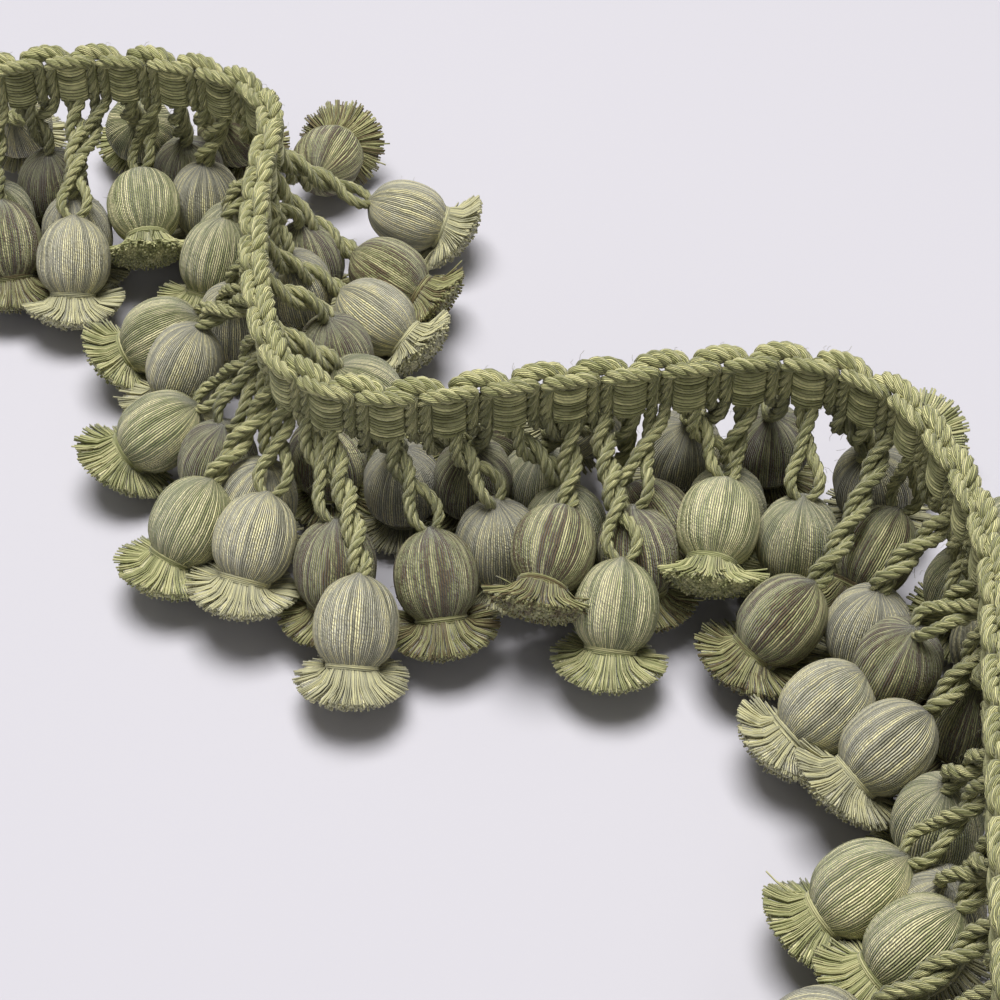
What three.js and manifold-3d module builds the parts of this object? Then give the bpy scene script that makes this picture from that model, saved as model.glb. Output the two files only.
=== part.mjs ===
// Onion tassel fringe trim, set on edge in a serpentine on a flat surface.
// Millimetres, +Z up; the surface is z = 0 and the origin is under the middle of the whole trim.
// The woven heading stands upright, its edge cords run along the top, and every tassel hangs by
// its own twisted hanger, splayed to one side or the other, and rests on the surface.

import * as THREE from 'three';
import { mergeVertices } from 'three/addons/utils/BufferGeometryUtils.js';
import Module from 'manifold-3d';

const wasm = await Module();
wasm.setup();

// ---- Driving dimensions -------------------------------------------------------------------

const PITCH = 15; // one scallop of the edge, measured along the heading
const GAP = 0.3; // clearance between pieces that touch on the real trim

const BAND = { bottom: 45.5, height: 14, thickness: 3.4, step: PITCH * 0.75 };
const FRONT_CORD = { radius: 1.7, out: -2.1, rise: 1.9, step: PITCH / 2 };
const SCALLOP = { radius: 1.7, out: 1.6, low: 1.9, high: 3.6, step: PITCH / 4 };

const BALL = { radius: 10.2, height: 21.5 };
const NECK = { radius: 6.2 };
const SKIRT = { radius: 12, height: 8.2 };
const TASSEL_SIDES = 8;

const HANGER = { radius: 2.1, sides: 5, steps: 3, drop: 9, lead: 8, grip: 2, out: 1.6 };
const SQUASH = 1.4; // how far a resting tassel is pressed flat against the surface

// The heading's course in plan: the way it faces at its first end, then a row for each run.
// A positive turn bends it to the left.
const FIRST_HEADING = 26;
const RUNS = [
  { name: 'lead in', length: 15, turn: 0 },
  { name: 'wide bend', length: 75, turn: -52 },
  { name: 'first corner', length: 36, turn: -70 },
  { name: 'long side', length: 88, turn: 19 },
  { name: 'second corner', length: 32, turn: 64 },
  { name: 'dip', length: 22, turn: 24 },
  { name: 'middle', length: 78, turn: -4 },
  { name: 'third corner', length: 47, turn: -73 },
  { name: 'outer bend', length: 62, turn: -31 },
  { name: 'run out', length: 130, turn: 0 },
];

// A row for each tassel, in order along the heading.
//   yarn   the blend it is wound from
//   root   where its hanger leaves the heading, along the heading
//   along  how far on from the root the ball lies
//   out    the ball's distance from the heading, + to its left and - to its right
//   lift   how far it is held above the surface by what it lies on
//   dip    how steeply it points down, 90 is upright
//   swing  how far it is turned away from straight out, + to the left
const COLUMNS = ['yarn', 'root', 'along', 'out', 'lift', 'dip', 'swing'];
const TASSELS = [
  ['green', 6, -2, 22, 0, 48, 8],
  ['brown', 13, 0, -27, 0, 53, -14],
  ['brown', 31, 4, -1, 0, 86, 0],
  ['pale', 35, -6, 30, 0, 45, -10],
  ['pale', 42, -1, -41, 0, 50, -10],
  ['green', 57, 0, 24, 0, 46, 12],
  ['green', 66, 2, -18, 5, 26, 20],
  ['pale', 87, -3, -5, 0, 82, 4],
  ['brown', 79, 0, 26, 0, 50, 0],
  ['brown', 97, 0, 33, 2, 6, 25],
  ['green', 112, 19, -17, 0, 54, 70],
  ['pale', 107, 7, 38, 0, 20, -24],
  ['brown', 128, 1, 31, 0, 20, -22],
  ['pale', 149, 6, -9, 0, 86, 0],
  ['pale', 154, -2, 29, 0, 26, -28],
  ['brown', 170, 1, 19, 0, 82, -20],
  ['pale', 175, 0, -21, 0, 62, 30],
  ['green', 196, 1, -28, 0, 32, 8],
  ['green', 191, 2, 25, 0, 56, 0],
  ['brown', 206, 6, -15, 0, 78, 10],
  ['brown', 221, -6, 13, 0, 88, 0],
  ['green', 216, 8, -28, 0, 44, 18],
  ['pale', 225, 9, -22, 3, 43, 16],
  ['pale', 247, 10, 15, 0, 88, 0],
  ['brown', 233, 13, -20, 0, 64, 6],
  ['pale', 243, 9, -38, 0, 43, 0],
  ['brown', 252, 12, -22, 0, 46, 4],
  ['brown', 275, 6, 26, 0, 48, -6],
  ['pale', 268, 12, -11, 0, 82, -5],
  ['brown', 297, -5, -25, 11, 20, -26],
  ['green', 301, -6, 9, 0, 87, 0],
  ['green', 305, 0, -40, 0, 46, -20],
  ['brown', 320, -6, -22, 0, 66, 10],
  ['pale', 333, 0, 14, 0, 76, 10],
  ['green', 328, 7, -21, 9, 26, -20],
  ['brown', 352, 1, 15, 0, 80, -8],
  ['green', 362, 5, -19, 0, 78, 10],
  ['green', 372, 2, 27, 0, 14, 6],
  ['brown', 382, 29, -39, 0, 40, 18],
  ['green', 402, 0, 24, 0, 46, 0],
  ['pale', 410, 11, -20, 0, 80, 40],
  ['brown', 426, 0, 24, 0, 46, 0],
  ['pale', 434, 18, -33, 0, 34, 34],
  ['green', 453, -3, 24, 0, 50, -10],
  ['pale', 449, 19, -19, 5, 31, 36],
  ['brown', 461, -9, -1, 0, 85, 0],
  ['pale', 476, 1, 24, 0, 46, 10],
  ['green', 486, -2, -8, 0, 88, 0],
  ['green', 494, 12, -24, 0, 36, 26],
  ['brown', 502, 0, 24, 0, 50, 0],
  ['green', 513, 10, -13, 4, 40, 30],
  ['green', 528, 0, 24, 0, 46, -8],
  ['pale', 532, 15, -33, 0, 46, 0],
  ['brown', 550, 3, -13, 0, 82, 10],
  ['pale', 555, 0, 24, 0, 50, 6],
  ['green', 566, 5, -27, 0, 46, 0],
  ['brown', 579, 0, 22, 0, 46, 0],
];

const YARNS = {
  pale: { color: 0xb3b79d, roughness: 0.75 },
  green: { color: 0x9aa373, roughness: 0.78 },
  brown: { color: 0x7d7a55, roughness: 0.78 },
};
const CORD = { color: 0x8f9668, roughness: 0.9 };

// ---- The heading's course -----------------------------------------------------------------

const LENGTH = RUNS.reduce((sum, run) => sum + run.length, 0);

// The place and direction of the heading at a distance along it.
function course(station) {
  let x = 0;
  let y = 0;
  let facing = THREE.MathUtils.degToRad(FIRST_HEADING);
  let left = station;
  for (const [index, run] of RUNS.entries()) {
    const last = index === RUNS.length - 1;
    const length = last ? left : Math.min(left, run.length);
    const turn = (THREE.MathUtils.degToRad(run.turn) * length) / run.length;
    const chord = turn === 0 ? length : (2 * length * Math.sin(turn / 2)) / turn;
    x += chord * Math.cos(facing + turn / 2);
    y += chord * Math.sin(facing + turn / 2);
    facing += turn;
    left -= length;
    if (left <= 0) break;
  }
  return { x, y, facing };
}

// The point that lies out from the heading, to its left, at a height above the surface.
function beside(station, out, height) {
  const { x, y, facing } = course(station);
  return new THREE.Vector3(x - out * Math.sin(facing), y + out * Math.cos(facing), height);
}

function stations(step) {
  const count = Math.round(LENGTH / step);
  return Array.from({ length: count + 1 }, (_, index) => (LENGTH * index) / count);
}

// ---- Solids -------------------------------------------------------------------------------

function toSolid(geometry) {
  const bare = geometry.clone();
  bare.deleteAttribute('normal');
  bare.deleteAttribute('uv');
  const merged = mergeVertices(bare, 1e-4);
  const mesh = new wasm.Mesh({
    numProp: 3,
    vertProperties: new Float32Array(merged.attributes.position.array),
    triVerts: new Uint32Array(merged.index.array),
  });
  return new wasm.Manifold(mesh);
}

function toGeometry(solid) {
  const mesh = solid.getMesh();
  const geometry = new THREE.BufferGeometry();
  geometry.setAttribute('position', new THREE.BufferAttribute(mesh.vertProperties, 3));
  geometry.setIndex(new THREE.BufferAttribute(mesh.triVerts, 1));
  geometry.computeVertexNormals();
  return geometry;
}

// A closed body from rings of points, each ring counter-clockwise when seen from ahead.
function loft(rings) {
  const sides = rings[0].length;
  const positions = rings.flat().flatMap((point) => point.toArray());
  const faces = [];
  for (let ring = 0; ring < rings.length - 1; ring += 1) {
    for (let side = 0; side < sides; side += 1) {
      const a = ring * sides + side;
      const b = ring * sides + ((side + 1) % sides);
      faces.push(a, b, b + sides, a, b + sides, a + sides);
    }
  }
  const end = (rings.length - 1) * sides;
  for (let side = 1; side < sides - 1; side += 1) {
    faces.push(0, side + 1, side);
    faces.push(end, end + side, end + side + 1);
  }
  const geometry = new THREE.BufferGeometry();
  geometry.setAttribute('position', new THREE.Float32BufferAttribute(positions, 3));
  geometry.setIndex(faces);
  geometry.computeVertexNormals();
  return geometry;
}

function piece(name, geometry, look) {
  const material = new THREE.MeshStandardMaterial({ ...look, metalness: 0 });
  const mesh = new THREE.Mesh(geometry, material);
  mesh.name = name;
  return mesh;
}

// ---- Heading ------------------------------------------------------------------------------

// The woven band, upright on its edge.
function headingBand() {
  const half = BAND.thickness / 2;
  const along = stations(BAND.step);
  const leftSide = along.map((station) => beside(station, half, 0));
  const rightSide = along.map((station) => beside(station, -half, 0)).reverse();
  const outline = new THREE.Shape([...rightSide, ...leftSide].map(({ x, y }) => new THREE.Vector2(x, y)));
  const geometry = new THREE.ExtrudeGeometry(outline, { depth: BAND.height, bevelEnabled: false });
  return piece('heading', geometry.translate(0, 0, BAND.bottom), CORD);
}

// A cord of diamond section along the heading, its middle at height(station).
function edgeCord(name, { radius, out, step }, height) {
  const rings = stations(step).map((station) => {
    const middle = height(station);
    return [
      beside(station, out, middle - radius),
      beside(station, out + radius, middle),
      beside(station, out, middle + radius),
      beside(station, out - radius, middle),
    ];
  });
  return piece(name, loft(rings), CORD);
}

const bandTop = BAND.bottom + BAND.height + GAP;

function frontCord() {
  return edgeCord('front_cord', FRONT_CORD, () => bandTop + FRONT_CORD.rise);
}

function scallopCord() {
  const height = (station) => {
    const arch = Math.abs(Math.sin((Math.PI * station) / PITCH));
    return bandTop + SCALLOP.low + (SCALLOP.high - SCALLOP.low) * arch;
  };
  return edgeCord('scallop_cord', SCALLOP, height);
}

// ---- Tassels ------------------------------------------------------------------------------

// Skirt, neck and wound ball as one turned body, from the cut end up to the tip.
function tasselBody() {
  const base = SKIRT.height;
  const profile = [
    [0, 0],
    [SKIRT.radius, 0],
    [NECK.radius, base],
    [BALL.radius, base + BALL.height * 0.32],
    [BALL.radius * 0.92, base + BALL.height * 0.68],
    [0, base + BALL.height],
  ];
  const points = profile.map(([radius, height]) => new THREE.Vector2(radius, height));
  return new THREE.LatheGeometry(points, TASSEL_SIDES);
}

const TASSEL_LENGTH = SKIRT.height + BALL.height;
const BALL_MIDDLE = SKIRT.height + BALL.height / 2;

// The direction from a tassel's tip to its cut end.
function pointing({ root, along, out, dip, swing }) {
  const outward = Math.sign(out) * (Math.PI / 2);
  const yaw = course(root + along).facing + outward + THREE.MathUtils.degToRad(swing);
  const down = THREE.MathUtils.degToRad(dip);
  return new THREE.Vector3(
    Math.cos(down) * Math.cos(yaw),
    Math.cos(down) * Math.sin(yaw),
    -Math.sin(down),
  );
}

// The twisted hanger: straight down out of the heading, then in line with the tassel.
function hanger(row, tip, axis) {
  const start = beside(row.root, Math.sign(row.out) * HANGER.out, BAND.bottom - GAP);
  const path = new THREE.CubicBezierCurve3(
    start,
    start.clone().add(new THREE.Vector3(0, 0, -HANGER.drop)),
    tip.clone().addScaledVector(axis, -HANGER.lead),
    tip.clone().addScaledVector(axis, HANGER.grip),
  );
  const section = new THREE.Shape();
  for (let side = 0; side < HANGER.sides; side += 1) {
    const angle = (2 * Math.PI * side) / HANGER.sides;
    const corner = [HANGER.radius * Math.cos(angle), HANGER.radius * Math.sin(angle)];
    if (side === 0) section.moveTo(...corner);
    else section.lineTo(...corner);
  }
  return new THREE.ExtrudeGeometry(section, { steps: HANGER.steps, extrudePath: path });
}

const surface = toSolid(new THREE.BoxGeometry(2000, 2000, 100).translate(0, 0, -50));

function tassel(row, index) {
  const axis = pointing(row);
  const body = tasselBody();
  body.translate(0, -BALL_MIDDLE, 0);
  const upright = new THREE.Vector3(0, 1, 0);
  const turn = new THREE.Quaternion().setFromUnitVectors(upright, axis.clone().negate());
  body.applyQuaternion(turn);
  body.computeBoundingBox();
  const middle = beside(row.root + row.along, row.out, row.lift - SQUASH - body.boundingBox.min.z);
  body.translate(middle.x, middle.y, middle.z);
  const tip = middle.clone().addScaledVector(axis, BALL_MIDDLE - TASSEL_LENGTH);
  const solid = toSolid(body).add(toSolid(hanger(row, tip, axis))).subtract(surface);
  const name = `tassel_${String(index + 1).padStart(2, '0')}_${row.yarn}`;
  return piece(name, toGeometry(solid), YARNS[row.yarn]);
}

function tasselRows() {
  return TASSELS.map((row) => Object.fromEntries(COLUMNS.map((column, index) => [column, row[index]])));
}

// ---- The trim -----------------------------------------------------------------------------

const trim = new THREE.Group();
trim.add(headingBand(), frontCord(), scallopCord(), ...tasselRows().map(tassel));

const box = new THREE.Box3().setFromObject(trim);
const centre = box.getCenter(new THREE.Vector3());
trim.position.set(-centre.x, -centre.y, -box.min.z);
trim.updateMatrixWorld(true);

export default trim;
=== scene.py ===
# %% [markdown]
# # Onion tassel fringe
# A length of upholstery fringe stands on edge in an S on a pale table. One long weft cord is bent
# up and down through a band of fine warp threads. Its loops make the scalloped top edge, and its
# ends below the band are twisted into hangers, each with a wound ball and a cut skirt.
# Everything here is built from those same facts: a course for the band, a row for each tassel,
# and a few helpers that turn lines into threads. Lengths are in millimetres until a mesh is made.

# %% Open the frame
import math

import bpy
import numpy as np
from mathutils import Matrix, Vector


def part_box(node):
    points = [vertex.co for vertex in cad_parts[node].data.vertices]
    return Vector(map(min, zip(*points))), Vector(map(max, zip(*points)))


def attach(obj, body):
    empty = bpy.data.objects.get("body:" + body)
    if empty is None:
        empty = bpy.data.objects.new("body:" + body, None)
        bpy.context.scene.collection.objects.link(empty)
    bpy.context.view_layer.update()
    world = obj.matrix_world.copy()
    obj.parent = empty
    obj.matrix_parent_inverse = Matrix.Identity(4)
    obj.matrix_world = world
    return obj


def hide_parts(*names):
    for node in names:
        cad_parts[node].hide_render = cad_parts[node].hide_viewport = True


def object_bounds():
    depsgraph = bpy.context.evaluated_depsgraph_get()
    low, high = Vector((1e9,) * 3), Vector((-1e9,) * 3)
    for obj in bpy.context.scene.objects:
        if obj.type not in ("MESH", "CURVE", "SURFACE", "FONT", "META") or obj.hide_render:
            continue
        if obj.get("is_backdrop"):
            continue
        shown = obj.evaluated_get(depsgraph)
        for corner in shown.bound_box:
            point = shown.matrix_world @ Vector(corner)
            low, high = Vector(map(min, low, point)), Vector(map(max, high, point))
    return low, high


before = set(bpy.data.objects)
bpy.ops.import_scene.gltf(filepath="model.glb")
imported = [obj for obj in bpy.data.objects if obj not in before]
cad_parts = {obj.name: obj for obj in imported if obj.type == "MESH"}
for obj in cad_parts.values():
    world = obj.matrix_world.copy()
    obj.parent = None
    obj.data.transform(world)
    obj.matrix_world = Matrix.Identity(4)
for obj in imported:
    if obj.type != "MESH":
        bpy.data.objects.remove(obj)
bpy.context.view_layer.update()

MM = 0.001

# %% [markdown]
# ## The course of the heading
# The band keeps one height above the table and bends only in plan, so its whole shape is a list
# of runs: how long each is and how far it turns. An exact arc for each run gives smooth bends
# from ten rows, and every other piece is then placed by its station, the distance along the band.

# %% Runs of the S
PITCH = 15.0  # one block of warp and one pair of columns
FIRST_HEADING = 26.0
RUNS = [
    {"name": "lead in", "length": 15, "turn": 0},
    {"name": "wide bend", "length": 75, "turn": -52},
    {"name": "first corner", "length": 36, "turn": -70},
    {"name": "long side", "length": 88, "turn": 19},
    {"name": "second corner", "length": 32, "turn": 64},
    {"name": "dip", "length": 22, "turn": 24},
    {"name": "middle", "length": 78, "turn": -4},
    {"name": "third corner", "length": 47, "turn": -73},
    {"name": "outer bend", "length": 62, "turn": -31},
    {"name": "run out", "length": 130, "turn": 0},
]
LENGTH = float(sum(run["length"] for run in RUNS))
print("trim length mm:", LENGTH, "pitches:", LENGTH / PITCH)


# %% Follow the course
def course(station):
    """Plan place and facing of the band at each station, before it is moved to the frame."""
    left = np.atleast_1d(np.asarray(station, float)).copy()
    x, y = np.zeros_like(left), np.zeros_like(left)
    facing = np.full(left.shape, math.radians(FIRST_HEADING))
    for number, run in enumerate(RUNS):
        lowest = -np.inf if number == 0 else 0.0
        highest = np.inf if number == len(RUNS) - 1 else run["length"]
        length = np.clip(left, lowest, highest)
        turn = math.radians(run["turn"]) * length / run["length"]
        half = np.where(np.abs(turn) < 1e-9, 1e-9, turn) / 2
        chord = length * np.sin(half) / half
        x += chord * np.cos(facing + turn / 2)
        y += chord * np.sin(facing + turn / 2)
        facing += turn
        left = left - length
    return x, y, facing


# %% Bring the course to the CAD heading
BAND = {"bottom": 45.5, "thickness": 3.4}


def sideways(station, out):
    """Plan point that lies out from the band, to its left."""
    x, y, facing = course(station)
    return np.stack([x - out * np.sin(facing), y + out * np.cos(facing)], axis=-1)


along = np.linspace(0, LENGTH, 400)
edges = np.concatenate([sideways(along, side * BAND["thickness"] / 2) for side in (-1, 1)])
heading_low, heading_high = (np.array(corner[:2]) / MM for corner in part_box("heading"))
place = (heading_low + heading_high) / 2 - (edges.min(0) + edges.max(0)) / 2


def beside(station, out, height):
    """Points in the frame at a station, out to the left of the band and at a height."""
    plan = sideways(station, np.asarray(out, float)) + place
    level = np.broadcast_to(np.asarray(height, float), plan[:, 0].shape)
    return np.concatenate([plan, level[:, None]], axis=1)


def facing_at(station):
    return float(course(station)[2][0])


print("course moved by mm:", place.round(2))

# %% [markdown]
# ## Camera, table and light
# The camera stands in front of the trim and looks down at it with a long lens, so the S runs from
# the far left to the near right. The table is one pale sheet. A very large soft box above and
# behind lights the tops of the cords and the crowns of the balls, leaves the near face of the band
# in shade and lets soft shadows fall towards the camera.

# %% Camera
# Millimetres from the first end of the band, degrees below level, and the lens.
CAMERA = {"right": 165.5, "near": 574.4, "height": 436.4, "down": 43, "lens": 86.4}
start = beside(0.0, 0.0, 0.0)[0]
camera_data = bpy.data.cameras.new("camera")
camera_data.sensor_width = 36.0
camera_data.lens = CAMERA["lens"]
camera_data.clip_start, camera_data.clip_end = 0.01, 20.0
camera = bpy.data.objects.new("camera", camera_data)
stand = (start[0] + CAMERA["right"], start[1] - CAMERA["near"], CAMERA["height"])
camera.location = Vector(stand) * MM
camera.rotation_euler = (math.radians(90 - CAMERA["down"]), 0, 0)
bpy.context.scene.collection.objects.link(camera)
bpy.context.scene.camera = camera
bpy.context.scene.view_settings.view_transform = "Standard"
print("camera at mm:", [round(v / MM, 1) for v in camera.location])


# %% Soft boxes and room light
def soft_box(name, at, aim, size, power, colour):
    light = bpy.data.lights.new(name, "AREA")
    light.shape, light.size = "SQUARE", size
    light.energy, light.color = power, colour
    lamp = bpy.data.objects.new(name, light)
    lamp.location = Vector(at)
    lamp.rotation_mode = "QUATERNION"
    lamp.rotation_quaternion = (Vector(at) - Vector(aim)).to_track_quat("Z", "Y")
    bpy.context.scene.collection.objects.link(lamp)
    return lamp


soft_box("overhead_box", (-0.1, 0.24, 2.42), (0, 0, 0), 1.4, 83.0, (1.0, 0.985, 0.955))
soft_box("front_fill", (0.5, -2.4, 1.5), (0, 0, 0), 1.6, 7.0, (1.0, 0.99, 0.97))

room = bpy.data.worlds.new("room")
room.use_nodes = True
room.node_tree.nodes["Background"].inputs["Color"].default_value = (0.97, 0.96, 0.95, 1.0)
room.node_tree.nodes["Background"].inputs["Strength"].default_value = 0.14
bpy.context.scene.world = room

# %% [markdown]
# ## Threads as meshes
# Nearly everything here is a thread, a strand or a cord: a line with a round section. One helper
# draws smooth lines, one carries a steady pair of cross directions along them, and a Skein gathers
# all the tubes of a piece into a single mesh. Each corner keeps a thread coordinate (round the
# strand, and centimetres along it) and each vertex a random tone, which the yarn materials read.


# %% Smooth lines and their cross directions
def unit(vectors):
    return vectors / np.maximum(np.linalg.norm(vectors, axis=-1, keepdims=True), 1e-12)


def smooth_line(points, count):
    """A smooth line through the points, cut into evenly spaced ones."""
    points = np.asarray(points, float)
    ends = np.vstack([2 * points[0] - points[1], points, 2 * points[-1] - points[-2]])
    t = np.linspace(0, 1, 14, endpoint=False)[:, None]
    pieces = []
    for a, b, c, d in zip(ends, ends[1:], ends[2:], ends[3:]):
        curve = 2 * b + (c - a) * t + (2 * a - 5 * b + 4 * c - d) * t**2 + (3 * b - a - 3 * c + d) * t**3
        pieces.append(curve / 2)
    dense = np.vstack(pieces + [points[-1:]])
    walked = np.concatenate([[0], np.cumsum(np.linalg.norm(np.diff(dense, axis=0), axis=1))])
    at = np.linspace(0, walked[-1], count)
    return np.stack([np.interp(at, walked, column) for column in dense.T], axis=1)


def cross_directions(lines, first_side=None):
    """Tangent and two steady cross directions at every point of lines shaped (lines, points, 3)."""
    tangent = unit(np.gradient(lines, axis=1))
    first = tangent[:, 0]
    if first_side is None:
        first_side = np.where(np.abs(first[:, 2:3]) < 0.9, [[0.0, 0.0, 1.0]], [[1.0, 0.0, 0.0]])
    side = np.zeros_like(tangent)
    carried = np.broadcast_to(first_side, first.shape)
    for k in range(lines.shape[1]):
        carried = unit(carried - tangent[:, k] * np.sum(carried * tangent[:, k], axis=-1, keepdims=True))
        side[:, k] = carried
    return tangent, side, np.cross(tangent, side)


def lengths_along(lines):
    steps = np.linalg.norm(np.diff(lines, axis=1), axis=-1)
    return np.concatenate([np.zeros((lines.shape[0], 1)), np.cumsum(steps, axis=1)], axis=1)


print("a smooth line of", len(smooth_line([(0, 0, 0), (1, 1, 0), (2, 0, 0)], 9)), "points")


# %% Skein, the mesh gatherer
class Skein:
    """Gathers tubes and skins, in millimetres, into one mesh with its materials."""

    def __init__(self):
        self.points, self.tones, self.corners, self.sizes, self.weave, self.looks = [], [], [], [], [], []
        self.count = 0

    def add(self, points, tones, faces, weave, look):
        faces = np.asarray(faces)
        self.points.append(points.reshape(-1, 3))
        self.tones.append(np.broadcast_to(tones, points.shape[:-1]).reshape(-1))
        self.corners.append((faces + self.count).reshape(-1))
        self.sizes.append(np.full(len(faces), faces.shape[1]))
        self.weave.append(weave.reshape(-1, 2))
        self.looks.append(np.full(len(faces), look))
        self.count += self.points[-1].shape[0]

    def grid(self, rings, tones, along, look, shut=True, then=None):
        """Skin over rings shaped (lines, rows, round, 3), with end caps where shut.

        then is a row and the look that the skin takes from there on.
        """
        lines, rows, sides = rings.shape[:3]
        index = np.arange(lines * rows * sides).reshape(lines, rows, sides)
        nxt = np.roll(index, -1, axis=2)
        faces = np.stack([index[:, :-1], nxt[:, :-1], nxt[:, 1:], index[:, 1:]], axis=-1).reshape(-1, 4)
        u = np.broadcast_to(np.arange(sides) / sides, (lines, rows - 1, sides))
        low = np.broadcast_to(along[:, :-1, None], u.shape)
        high = np.broadcast_to(along[:, 1:, None], u.shape)
        across = 1.0 / sides
        weave = np.stack([u, low, u + across, low, u + across, high, u, high], axis=-1)
        looks = np.full(index[:, :-1].shape, look)
        if then:
            looks[:, then[0] :] = then[1]
        self.add(rings, tones, faces, weave, looks.reshape(-1))
        if shut:
            base = self.count - rings.reshape(-1, 3).shape[0]
            for row, order in ((0, -1), (rows - 1, 1)):
                cap = index[:, row, ::order] + base
                u_cap = np.broadcast_to(np.arange(sides)[::order] / sides, cap.shape)
                self.corners.append(cap.reshape(-1))
                self.sizes.append(np.full(lines, sides))
                v_cap = np.broadcast_to(along[:, row, None], cap.shape)
                self.weave.append(np.stack([u_cap, v_cap], -1).reshape(-1, 2))
                self.looks.append(looks[:, 0 if row == 0 else -1, 0])

    def tubes(self, lines, radius, sides, tones, look=0):
        """Round strands along lines."""
        lines = np.asarray(lines, float)
        side, up = cross_directions(lines)[1:]
        angle = 2 * np.pi * np.arange(sides) / sides
        along = lengths_along(lines)
        reach = np.broadcast_to(np.asarray(radius, float), along.shape)[..., None]
        reach = np.broadcast_to(reach, along.shape + (sides,))
        round_it = np.cos(angle)[:, None] * side[:, :, None] + np.sin(angle)[:, None] * up[:, :, None]
        rings = lines[:, :, None] + reach[..., None] * round_it
        tones = np.asarray(tones, float).reshape(-1, 1, 1)
        self.grid(rings, tones, along / 10, look)

    def build(self, name, looks, shade=1.0):
        mesh = bpy.data.meshes.new(name)
        corners, sizes = np.concatenate(self.corners), np.concatenate(self.sizes)
        mesh.vertices.add(self.count)
        mesh.vertices.foreach_set("co", (np.concatenate(self.points) * MM).astype(np.float32).ravel())
        mesh.loops.add(len(corners))
        mesh.loops.foreach_set("vertex_index", corners.astype(np.int32))
        mesh.polygons.add(len(sizes))
        mesh.polygons.foreach_set("loop_start", (np.cumsum(sizes) - sizes).astype(np.int32))
        mesh.polygons.foreach_set("material_index", np.concatenate(self.looks).astype(np.int32))
        mesh.polygons.foreach_set("use_smooth", np.ones(len(sizes), bool))
        layer = mesh.uv_layers.new(name="threads")
        layer.data.foreach_set("uv", np.concatenate(self.weave).astype(np.float32).ravel())
        tone = mesh.attributes.new("tone", "FLOAT", "POINT")
        tone.data.foreach_set("value", np.concatenate(self.tones).astype(np.float32))
        # The shade attribute is one brightness factor for the whole piece: its own tone, and for some
        # tassels painted shade or painted light.
        shades = mesh.attributes.new("shade", "FLOAT", "POINT")
        shades.data.foreach_set("value", np.full(self.count, shade, np.float32))
        for look in looks:
            mesh.materials.append(look)
        mesh.update(calc_edges=True)
        mesh.validate()
        piece = bpy.data.objects.new(name, mesh)
        bpy.context.scene.collection.objects.link(piece)
        return piece


def pressed(points, clearance=0.0):
    """Soft yarn flattens smoothly on the table instead of passing through it."""
    points = points.copy()
    z = points[..., 2] - clearance
    points[..., 2] = np.where(z < 1, np.exp(np.minimum(z, 1) - 1), z) + clearance
    return points


def hairs(skein, roots, outward, forward, length, chance, look=0):
    """Short loose fibres that leave a thread sideways and bend along it."""
    count = len(roots)
    reach = length * (0.5 + chance.random((count, 1)))
    sway = chance.normal(0, 0.35, (count, 3))
    first = roots + reach * 0.5 * unit(outward + 0.5 * forward + sway)
    second = first + reach * 0.5 * unit(0.4 * outward + 0.9 * forward - sway)
    lines = np.stack([roots, first, second], axis=1)
    skein.tubes(pressed(lines, 0.05), HAIR["radius"], 3, chance.random(count), look)


HAIR = {"radius": 0.045, "length": 2.0, "per_mm": 0.4}
print("skein ready")

# %% [markdown]
# ## Yarn as a material
# Wound, twisted and cut yarn all show the same things: separate threads side by side, a few thread
# colours mixed by chance, dark gaps between threads and small beads where each thread is plied.
# The dark in the gaps is painted shade, and the light and dark spots along the beads are painted glints.
# Two node groups give them. One turns the thread coordinate into thread lines, the other picks a
# colour for each thread and paints that shade and those glints into it. Every material places both
# with its own numbers and keeps its own shader.


# %% Node helpers
def linear(code):
    """Linear colour for a six digit sRGB code."""
    values = [int(code[k : k + 2], 16) / 255 for k in (0, 2, 4)]
    return tuple(v / 12.92 if v <= 0.04045 else ((v + 0.055) / 1.055) ** 2.4 for v in values) + (1.0,)


def new_group(name, inputs, outputs):
    group = bpy.data.node_groups.new(name, "ShaderNodeTree")
    for label, kind, value in inputs:
        socket = group.interface.new_socket(label, in_out="INPUT", socket_type=kind)
        socket.default_value = value
    for label, kind in outputs:
        group.interface.new_socket(label, in_out="OUTPUT", socket_type=kind)
    return group, group.nodes.new("NodeGroupInput"), group.nodes.new("NodeGroupOutput")


def feed(tree, socket, value):
    if isinstance(value, bpy.types.NodeSocket):
        tree.links.new(value, socket)
    else:
        socket.default_value = value


def sums(tree, operation, *values, clamp=False):
    node = tree.nodes.new("ShaderNodeMath")
    node.operation, node.use_clamp = operation, clamp
    for socket, value in zip(node.inputs, values):
        feed(tree, socket, value)
    return node.outputs[0]


def blend(tree, factor, first, second, mode="MIX"):
    node = tree.nodes.new("ShaderNodeMix")
    node.data_type, node.blend_type = "RGBA", mode
    feed(tree, node.inputs[0], factor)
    feed(tree, node.inputs[6], first)
    feed(tree, node.inputs[7], second)
    return node.outputs[2]


def as_vector(tree, *values):
    node = tree.nodes.new("ShaderNodeCombineXYZ")
    for socket, value in zip(node.inputs, values):
        feed(tree, socket, value)
    return node.outputs[0]


def noise(tree, vector, scale, detail=2.0):
    node = tree.nodes.new("ShaderNodeTexNoise")
    feed(tree, node.inputs["Vector"], vector)
    node.inputs["Scale"].default_value = scale
    node.inputs["Detail"].default_value = detail
    return node.outputs["Fac"]


print("straw in linear colour:", [round(v, 3) for v in linear("cbc794")])

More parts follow.
